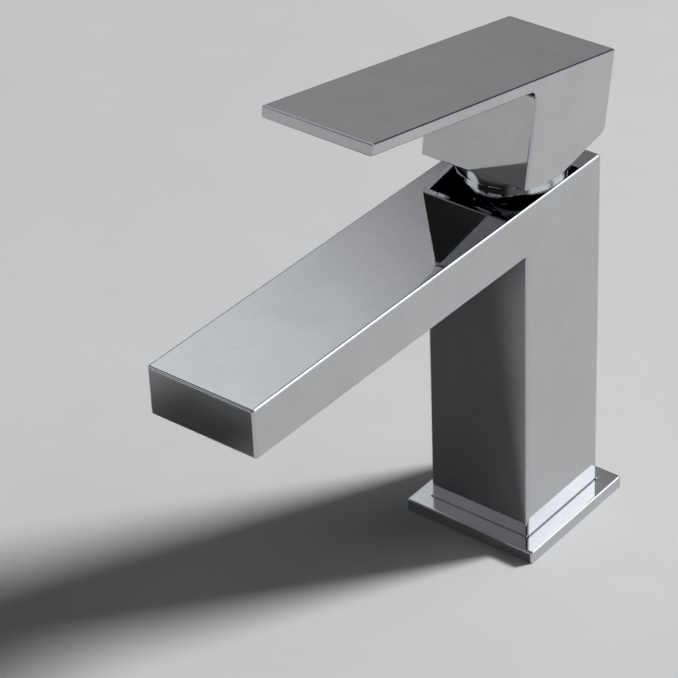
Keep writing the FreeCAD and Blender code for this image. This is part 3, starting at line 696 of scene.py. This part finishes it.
@dataclass
class DeckClamp(SubAssembly):
    """The stud, washer, plate and nut that pull the tap down on its deck. Sizes are in millimetres."""

    solids: tuple[str, ...] = ("clamp_washer", "clamp_plate")
    stud_radius: float = 4.0
    stud_point: float = 1.0
    stud_crease: float = 50.0
    thread_pitch: float = 1.25
    thread_depth: float = 0.62
    thread_steepness: float = 1.35
    nut_flats: float = 13.0
    nut_bore: float = 4.1
    nut_ease: float = 0.25
    nut_face_share: float = 0.96
    nut_sides: int = 6
    nut_cone_degrees: float = 60.0
    nut_thread_depth: float = 0.31
    nut_crease: float = 28.0
    turn_steps: int = 40
    steps_per_pitch: int = 8
    flat_steps: int = 6
    bevel_steps: int = 7

    def wave(self, turn: np.ndarray, height: np.ndarray) -> np.ndarray:
        """The thread's profile, from -1 in its root to 1 on its crest.

        It is a triangle wave of height over pitch less the share of a turn, steepened and cut off at both
        ends, which leaves narrow flats on crest and root.

        Args:
            turn: angles about the axis.
            height: heights along it.

        Returns:
            The profile at each place.
        """
        phase = height / self.thread_pitch - turn / (2 * math.pi)
        triangle = 4 * np.abs(phase - np.floor(phase + 0.5)) - 1
        return np.clip(self.thread_steepness * triangle, -1, 1)

    def rows(self, length: float) -> int:
        """How many rings of points a thread of this length has."""
        return int(length / self.thread_pitch * self.steps_per_pitch)

    def stud(self) -> bpy.types.Object:
        """The threaded stud.

        Its radius at a turn and a height is the crest's, less half the depth times one minus the thread's
        wave, and never more than a cone at either end allows.

        Returns:
            The stud.
        """
        low, high = box_in_mm("mounting_stud")
        centre = (low + high) / 2
        length = high[2] - low[2]
        rows = self.rows(length)
        height, turn = np.meshgrid(np.linspace(0, length, rows), full_turn(self.turn_steps), indexing="ij")
        thread = self.stud_radius - self.thread_depth * (1 - self.wave(turn, height)) / 2
        tip = self.stud_radius - self.thread_depth - self.stud_point / 2
        radius = np.minimum(thread, tip + np.minimum(height, length - height))
        rings = round_axis(centre, radius, turn, low[2] + height)
        poles = [[centre[0], centre[1], low[2]], [centre[0], centre[1], high[2]]]
        points = np.concatenate([rings.reshape(-1, 3), poles]) * MM
        faces = [lattice(rows, self.turn_steps, False, True), caps(rows, self.turn_steps)]
        return put_piece("threaded_stud", points, faces, self.stud_crease)

    def nut(self) -> bpy.types.Object:
        """The long hexagon nut on the stud.

        A closed outline of radius and height is carried round the axis. Its outside is half the flats over
        the cosine of the angle from the nearest flat's middle, and never more than the ends' cones. Its bore
        is the thread's wave between two wider mouths.

        Returns:
            The nut.
        """
        low, high = box_in_mm("stud_nut")
        centre = (low + high) / 2
        length = high[2] - low[2]
        half_flats = self.nut_flats / 2
        half_side = math.pi / self.nut_sides
        face_radius = half_flats * self.nut_face_share
        slope = math.tan(math.radians(self.nut_cone_degrees))
        bevel = (half_flats / math.cos(half_side) - face_radius) / slope
        ends = np.linspace(0, bevel, self.bevel_steps)
        outside = np.concatenate([ends, (length - ends)[::-1]])
        bore = np.linspace(length - self.nut_ease, self.nut_ease, self.rows(length))
        level = np.concatenate([outside, [length], bore, [0.0]])
        height, turn = np.meshgrid(level, full_turn(self.nut_sides * self.flat_steps), indexing="ij")
        flat = half_flats / np.cos(turn % (2 * half_side) - half_side)
        cone = face_radius + slope * np.minimum(height, length - height)
        radius = np.minimum(flat, cone)
        inner = slice(len(outside), None)
        wave = self.wave(turn[inner], height[inner])
        radius[inner] = self.nut_bore + self.nut_thread_depth * (1 - wave) / 2
        radius[[len(outside), -1]] = self.nut_bore + self.thread_depth
        points = round_axis(centre, radius, turn, low[2] + height)
        faces = [lattice(*radius.shape, True, True)]
        return put_piece("long_stud_nut", points.reshape(-1, 3) * MM, faces, self.nut_crease)

    def build(self) -> list[NewPiece]:
        """Make the two threaded pieces."""
        return [(self.stud(), "mounting_stud", Body.FIXED), (self.nut(), "stud_nut", Body.FIXED)]


@dataclass
class Cartridge(SubAssembly):
    """The ceramic cartridge, its nut and the dome over it."""

    solids: tuple[str, ...] = (
        "cartridge_base", "inlet_seals", "disc_seals", "fixed_disc", "moving_disc", "disc_carrier",
        "cartridge_housing", "housing_o_ring", "stem_guide", "pivot_pin", "slip_washer", "retaining_nut",
        "dome_grip_ring", "dome_cover")


@dataclass
class Lever(SubAssembly):
    """The hollow handle on its stem, with the set screw and the button over it. Sizes are in millimetres."""

    solids: tuple[str, ...] = ("handle", "handle_screw", "lever_stem")
    lift_degrees: float = 10.9
    button_radius: float = 3.9
    button_depth: float = 2.4
    button_crown: float = 0.35
    button_ease: float = 0.3
    button_heel: float = 0.2
    button_crease: float = 40.0
    inmost_ring: float = 0.25
    rim_steps: int = 6
    face_steps: int = 14
    turn_steps: int = 48

    def button(self) -> bpy.types.Object:
        """The crowned hot and cold button.

        A profile of radius and depth is carried round the button's own axis: a bevelled heel, a straight
        wall, a rounded rim, and a face whose rise falls off with the square of the radius. It is then tipped
        with the lever.

        Returns:
            The button.
        """
        low, high = box_in_mm("index_plug")
        middle = self.button_depth / 2
        shoulder = self.button_radius - self.button_ease
        rim = np.linspace(0, math.pi / 2, self.rim_steps)
        face = np.linspace(shoulder, self.inmost_ring, self.face_steps)[1:]
        rise = self.button_crown * (1 - (face / shoulder) ** 2)
        radius = np.concatenate([[self.button_radius - self.button_heel, self.button_radius],
                                 self.button_radius - self.button_ease * (1 - np.cos(rim)), face])
        out = np.concatenate([[0.0, self.button_heel],
                              self.button_depth - self.button_ease * (1 - np.sin(rim)),
                              self.button_depth + rise])
        rings = round_axis((0.0, 0.0), radius[:, None], full_turn(self.turn_steps), out[:, None] - middle)
        laid = rings[..., [0, 2, 1]].reshape(-1, 3)
        points = np.concatenate([laid, [[0.0, -middle, 0.0], [0.0, middle + self.button_crown, 0.0]]])
        lift = math.radians(self.lift_degrees)
        tip = np.array([[1, 0, 0], [0, math.cos(lift), math.sin(lift)], [0, -math.sin(lift), math.cos(lift)]])
        faces = [lattice(len(radius), self.turn_steps, False, True), caps(len(radius), self.turn_steps)]
        return put_piece("index_button", (points @ tip.T + (low + high) / 2) * MM, faces, self.button_crease)

    def build(self) -> list[NewPiece]:
        """Make the button."""
        return [(self.button(), "index_plug", Body.LEVER)]


@dataclass
class Outlet(SubAssembly):
    """The aerator in the spout's tip, with its woven gauze. Sizes are in millimetres."""

    solids: tuple[str, ...] = ("aerator_housing", "aerator_seal", "aerator_insert")
    wire_radius: float = 0.11
    wire_pitch: float = 0.62
    wire_sides: int = 6
    steps_per_weave: int = 6
    rim_width: float = 0.55
    rim_ease_share: float = 1 / 6
    rim_steps: int = 64
    crease: float = 40.0

    def weave(self, reach: float, thickness: float) -> np.ndarray:
        """The points of all wires that run one way, as wires by steps by sides by coordinates.

        A wire keeps its distance from the middle and spans the circle's chord there. Its height is a cosine
        whose half wave is the pitch, turned over from wire to wire, and round that line lies a thin tube.

        Args:
            reach: the gauze's radius.
            thickness: how high the gauze is.

        Returns:
            Points with the wires along the first coordinate.
        """
        count = int((reach - self.wire_radius) / self.wire_pitch)
        offset = np.arange(-count, count + 1) * self.wire_pitch
        chord = np.sqrt(reach**2 - offset**2)
        share = np.linspace(-1, 1, 2 * count * self.steps_per_weave)
        side = full_turn(self.wire_sides)
        along = chord[:, None, None] * share[None, :, None]
        sign = np.where(np.arange(len(offset)) % 2 == 0, 1.0, -1.0)[:, None, None]
        swing = thickness / 2 - self.wire_radius
        height = sign * swing * np.cos(math.pi * along / self.wire_pitch) + self.wire_radius * np.sin(side)
        across = offset[:, None, None] + self.wire_radius * np.cos(side)
        return np.stack(np.broadcast_arrays(along, across, height), -1)

    def rim(self, radius: float, thickness: float) -> np.ndarray:
        """The points of the pressed rim: a rectangle with cut corners, carried round the axis.

        Args:
            radius: the gauze's radius.
            thickness: how high the gauze is.

        Returns:
            Points as corners by steps by coordinates.
        """
        half, ease = thickness / 2, thickness * self.rim_ease_share
        inner = radius - self.rim_width
        outline = np.array([
            (inner, ease - half), (inner + ease, -half), (radius - ease, -half), (radius, ease - half),
            (radius, half - ease), (radius - ease, half), (inner + ease, half), (inner, half - ease)])
        return round_axis((0.0, 0.0), outline[:, :1], full_turn(self.rim_steps), outline[:, 1:])

    def gauze(self) -> bpy.types.Object:
        """The woven gauze in its rim.

        Both sets of wires are one weave, the second turned by a quarter and over.

        Returns:
            The gauze.
        """
        low, high = box_in_mm("aerator_screen")
        radius = (high[0] - low[0]) / 2
        thickness = high[2] - low[2]
        wires = self.weave(radius - self.rim_width / 2, thickness)
        turned = np.stack([wires[..., 1], wires[..., 0], -wires[..., 2]], -1)
        count, steps, sides = wires.shape[:3]
        first = np.arange(2 * count)[:, None, None] * steps * sides
        walls = (first + lattice(steps, sides, False, True)).reshape(-1, 4)
        tips = (first + np.array([[0], [(steps - 1) * sides]]) + np.arange(sides)).reshape(-1, sides)
        tips[0::2] = tips[0::2, ::-1]
        rim = self.rim(radius, thickness)
        mesh_points = np.concatenate([wires.reshape(-1, 3), turned.reshape(-1, 3), rim.reshape(-1, 3)])
        walls, tips = outward(mesh_points, [walls, tips])
        rim_cells = lattice(*rim.shape[:2], True, True) + 2 * count * steps * sides
        (rim_cells,) = outward(mesh_points, [rim_cells])
        points = (mesh_points + (low + high) / 2) * MM
        return put_piece("outlet_gauze", points, [walls, rim_cells, tips], self.crease)

    def build(self) -> list[NewPiece]:
        """Make the gauze."""
        return [(self.gauze(), "aerator_screen", Body.FIXED)]


# Studio


def towards(azimuth: float, elevation: float) -> np.ndarray:
    """The unit vector to a place on the sky, in degrees, with azimuth 0 in front and 90 on the right."""
    a, e = math.radians(azimuth), math.radians(elevation)
    return np.array([math.sin(a) * math.cos(e), -math.cos(a) * math.cos(e), math.sin(e)])


@dataclass(frozen=True)
class SoftPanel:
    """A soft bright patch of the studio's sky: full within one angle of its middle, gone past another."""

    azimuth: float
    elevation: float
    full_degrees: float
    gone_degrees: float
    strength: float


@dataclass
class Studio:
    """The floor, the light and the camera."""

    floor_radius: float = 30.0
    floor_points: int = 96
    floor_drop: float = 0.0002
    floor_colour: Colour = (0.65, 0.655, 0.66)
    floor_second: Colour = (0.62, 0.625, 0.63)
    floor_patches: float = 3.0
    floor_smooth: float = 0.75
    floor_rough: float = 0.9
    floor_specular: float = 0.15
    key_place: Point = (0.50, 0.62, 0.66)
    key_aim: Point = (0.0, -0.03, 0.05)
    key_width: float = 1.0
    key_height: float = 0.5
    key_watts: float = 2.4
    far_azimuth: float = 146.5
    far_elevation: float = 34.5
    far_strength: float = 4.2
    far_degrees: float = 12.0
    sky_level: float = 0.17
    sky_overhead: float = 0.02
    sky_full_degrees: float = 9.0
    sky_dim_degrees: float = 30.0
    sky_tint: Colour = (0.97, 0.985, 1.0)
    panels: tuple[SoftPanel, ...] = (
        SoftPanel(229.0, 39.0, 3.0, 14.5, 0.78),
        SoftPanel(216.0, 24.0, 8.0, 24.0, 0.20),
        SoftPanel(242.0, 56.0, 8.0, 21.0, 0.6),
        SoftPanel(92.0, 31.0, 14.0, 26.0, 1.3),
        SoftPanel(306.0, 28.0, 9.0, 16.0, 1.0),
        SoftPanel(324.0, 42.0, 5.0, 11.0, 0.3),
        SoftPanel(139.0, 33.0, 8.0, 20.0, 1.4),
        SoftPanel(158.0, 46.0, 7.0, 16.0, 2.0),
        SoftPanel(131.0, 13.0, 7.0, 16.0, 1.1),
        SoftPanel(48.0, 36.0, 10.0, 26.0, 0.18),
        SoftPanel(190.0, 53.0, 8.0, 20.0, 0.4),
        SoftPanel(0.0, 90.0, 14.0, 36.0, 0.4),
    )
    focal_pixels: float = 2818.06
    frame_pixels: float = 678.0
    sensor: float = 36.0
    clip_near: float = 0.01
    clip_far: float = 100.0
    aim: Point = (0.0, 0.0, 0.09)
    camera_azimuth: float = 39.68
    camera_elevation: float = 33.74
    camera_roll: float = -2.61
    camera_across: float = -0.06459
    camera_up: float = -0.01339
    camera_distance: float = 1.04301

    def floor(self) -> None:
        """A wide pale disc just under the base plate, one ring of points, see-through from below."""
        rim = round_axis((0.0, 0.0), self.floor_radius, full_turn(self.floor_points), -self.floor_drop)
        mesh = bpy.data.meshes.new("floor")
        mesh.from_pydata(rim.tolist(), [], [list(range(self.floor_points))])
        made = bpy.data.materials.new("studio_floor")
        made.use_nodes = True
        graph = Graph(made.node_tree)
        place = graph.add("TexCoord").outputs["Object"]
        haze = SHELF.place(graph, Effect.HAZE, Vector=place, Scale=self.floor_patches, Low=self.floor_smooth,
                           High=self.floor_rough)
        colour = graph.mix(haze.outputs["Mask"], self.floor_colour, self.floor_second)
        paint = graph.feed(graph.add("BsdfPrincipled"), Base_Color=colour,
                           Roughness=haze.outputs["Roughness"], Specular_IOR_Level=self.floor_specular)
        sheet = graph.add("MixShader")
        graph.put(graph.add("NewGeometry").outputs["Backfacing"], sheet.inputs[0])
        graph.put(paint.outputs["BSDF"], sheet.inputs[1])
        graph.put(graph.add("BsdfTransparent").outputs["BSDF"], sheet.inputs[2])
        graph.feed(graph.add("OutputMaterial"), Surface=sheet.outputs["Shader"])
        mesh.materials.append(made)
        floor = bpy.data.objects.new("floor", mesh)
        bpy.context.scene.collection.objects.link(floor)
        LOG.info("floor")

    def sky(self) -> None:
        """A pale band round the horizon under a dim ceiling, and soft panels that only reflections show.

        A panel's light falls off smoothly with the angle between the ray and the panel's middle.
        """
        world = bpy.data.worlds.new("studio_sky")
        world.use_nodes = True
        bpy.context.scene.world = world
        graph = Graph(world.node_tree)
        ray = graph.add("TexCoord").outputs["Generated"]
        rise = graph.feed(graph.add("SeparateXYZ"), Vector=ray).outputs["Z"]
        low, high = (math.sin(math.radians(x)) for x in (self.sky_full_degrees, self.sky_dim_degrees))
        band = graph.remap(rise, low, high, self.sky_level, self.sky_overhead, smooth=True)
        shine: object = 0.0
        for panel in self.panels:
            axis = graph.add("VectorMath", operation="DOT_PRODUCT")
            graph.put(ray, axis.inputs[0])
            graph.put(towards(panel.azimuth, panel.elevation).tolist(), axis.inputs[1])
            gone, full = (math.cos(math.radians(x)) for x in (panel.gone_degrees, panel.full_degrees))
            patch = graph.remap(axis.outputs["Value"], gone, full, 0.0, panel.strength, smooth=True)
            shine = graph.math("ADD", shine, patch)
        mirrored = graph.add("LightPath").outputs["Is Glossy Ray"]
        light = graph.math("ADD", band, graph.math("MULTIPLY", shine, mirrored))
        back = graph.feed(graph.add("Background"), Color=(*self.sky_tint, 1.0), Strength=light)
        graph.feed(graph.add("OutputWorld"), Surface=back.outputs["Background"])
        LOG.info("sky with %d soft panels", len(self.panels))

    @staticmethod
    def hang(lamp: bpy.types.Light, place: Sequence[float], ray: Sequence[float]) -> None:
        """Hang a lamp at a place, shining along a ray, where neither the camera nor the chrome sees it.

        Args:
            lamp: the lamp's data.
            place: where it hangs.
            ray: the way that it shines.
        """
        hung = bpy.data.objects.new(lamp.name, lamp)
        bpy.context.scene.collection.objects.link(hung)
        hung.location = place
        hung.rotation_euler = Vector(ray).to_track_quat("-Z", "Y").to_euler()
        hung.visible_camera = False
        hung.visible_glossy = False
        LOG.info("%s", lamp.name)

    def lamps(self) -> None:
        """A distant lamp behind the tap on its right, and a soft box beside it that softens the shadow."""
        box = bpy.data.lights.new("soft_box", "AREA")
        box.shape = "RECTANGLE"
        box.size, box.size_y = self.key_width, self.key_height
        box.energy = self.key_watts
        self.hang(box, self.key_place, np.subtract(self.key_aim, self.key_place))
        far = bpy.data.lights.new("distant_lamp", "SUN")
        far.energy = self.far_strength
        far.angle = math.radians(self.far_degrees)
        toward = towards(self.far_azimuth, self.far_elevation)
        self.hang(far, toward, -toward)

    def camera(self) -> None:
        """The camera at the photograph's angle, with its roll and framing."""
        back = towards(self.camera_azimuth, self.camera_elevation)
        turn, roll = math.radians(self.camera_azimuth), math.radians(self.camera_roll)
        level = np.array([math.cos(turn), math.sin(turn), 0.0])
        upright = np.cross(back, level)
        right = math.cos(roll) * level + math.sin(roll) * upright
        up = math.cos(roll) * upright - math.sin(roll) * level
        axes = np.stack([right, up, back], -1)
        spot = np.array(self.aim) + axes @ (self.camera_across, self.camera_up, self.camera_distance)
        lens = bpy.data.cameras.new("camera")
        lens.sensor_width = self.sensor
        lens.lens = self.focal_pixels * self.sensor / self.frame_pixels
        lens.clip_start, lens.clip_end = self.clip_near, self.clip_far
        eye = bpy.data.objects.new("camera", lens)
        bpy.context.scene.collection.objects.link(eye)
        eye.matrix_world = Matrix(axes.tolist()).to_4x4()
        eye.location = spot.tolist()
        bpy.context.scene.camera = eye
        LOG.info("camera, %.1f mm lens", lens.lens)

    def build(self) -> None:
        """Set up the studio."""
        self.floor()
        self.sky()
        self.lamps()
        self.camera()
        bpy.context.scene.view_settings.view_transform = "Standard"


def main() -> None:
    """Build the studio and dress every sub-assembly in turn."""
    logging.basicConfig(level=logging.INFO, format="%(name)s: %(message)s")
    Studio().build()
    shelf = FinishShelf(FINISHES)
    for assembly in (Casting(), DeckClamp(), Cartridge(), Lever(), Outlet()):
        assembly.dress(shelf)
        LOG.info("%s done", type(assembly).__name__)


if __name__ == "__main__":
    main()
